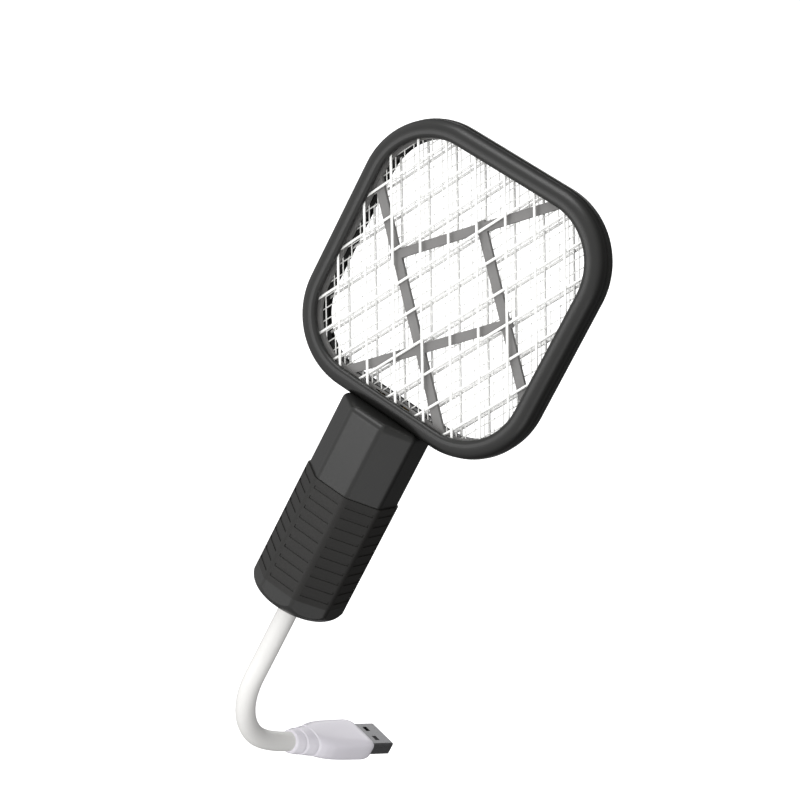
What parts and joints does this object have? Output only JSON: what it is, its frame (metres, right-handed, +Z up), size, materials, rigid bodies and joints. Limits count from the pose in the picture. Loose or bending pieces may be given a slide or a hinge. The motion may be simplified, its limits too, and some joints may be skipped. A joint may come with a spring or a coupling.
{
  "type": "electric fly swatter",
  "caption": "Small electric fly swatter with a round-cornered net head, an octagonal ribbed handle and a bendable USB neck.",
  "frame": {"origin": "on the handle's axis, at the middle of the ribbed grip", "axes": "+X to the right, +Y to the back, +Z up along the handle towards the head; the front of the net faces -Y"},
  "size_m": [0.086, 0.0904, 0.2152],
  "materials": {
    "charcoal_abs": "fine moulded satin",
    "soft_grip": "soft matt, ribbed",
    "grey_spacer": "moulded",
    "net_wire": "bright zinc plate",
    "screw_steel": "zinc plated",
    "brass_strip": "bare",
    "black_lead": "PVC insulation",
    "red_lead": "PVC insulation",
    "button_plastic": "satin",
    "part_black": "moulded",
    "board_green": "solder mask",
    "ferrite": "sintered",
    "coil_tape": "polyester tape",
    "capacitor_red": "dipped",
    "ceramic_blue": "dipped",
    "resistor_tan": "lacquered",
    "white_jacket": "smooth PVC",
    "white_boot": "smooth moulded PVC",
    "plug_steel": "nickel plated"
  },
  "bodies": {
    "swatter": {"head_front_frame": "charcoal_abs", "head_rear_frame": "charcoal_abs", "frame_screws": "screw_steel", "front_guard_net": "net_wire", "rib_spacer": "grey_spacer", "high_voltage_net": "net_wire", "rear_spacer": "charcoal_abs", "rear_guard_net": "net_wire", "guard_terminal": "brass_strip", "live_terminal": "brass_strip", "guard_lead": "black_lead", "live_lead": "red_lead", "handle_front_shell": "charcoal_abs", "handle_rear_shell": "charcoal_abs", "shell_screws": "screw_steel", "grip_sleeve": "soft_grip", "end_cap": "charcoal_abs", "push_switch": "part_black", "circuit_board": "board_green", "transformer_core": "ferrite", "transformer_coil": "coil_tape", "storage_capacitor": "capacitor_red", "multiplier_capacitors": "ceramic_blue", "multiplier_diodes": "part_black", "drive_transistor": "part_black", "bias_resistors": "resistor_tan", "supply_leads": "black_lead", "cable_collar": "screw_steel", "usb_cable": "white_jacket"},
    "button": {"power_button": "button_plastic", "switch_plunger": "part_black"},
    "plug": {"usb_boot": "white_boot", "usb_shell": "plug_steel", "usb_tongue": "part_black", "usb_contacts": "brass_strip"}
  },
  "joints": [
    {"name": "button_press", "type": "slide", "parent": "swatter", "child": "button", "axis": [0, -1, 0], "range_m": [0, 0.0006], "stiffness_N_per_m": 2500, "springref_m": -0.0003},
    {"name": "neck_bend", "type": "hinge", "parent": "swatter", "child": "plug", "pos_m": [0.00152, 0.00549, -0.0738], "axis": [-0.9636, 0.2672, 0], "range_deg": [-20, 90], "deforming": ["usb_cable"]}
  ]
}
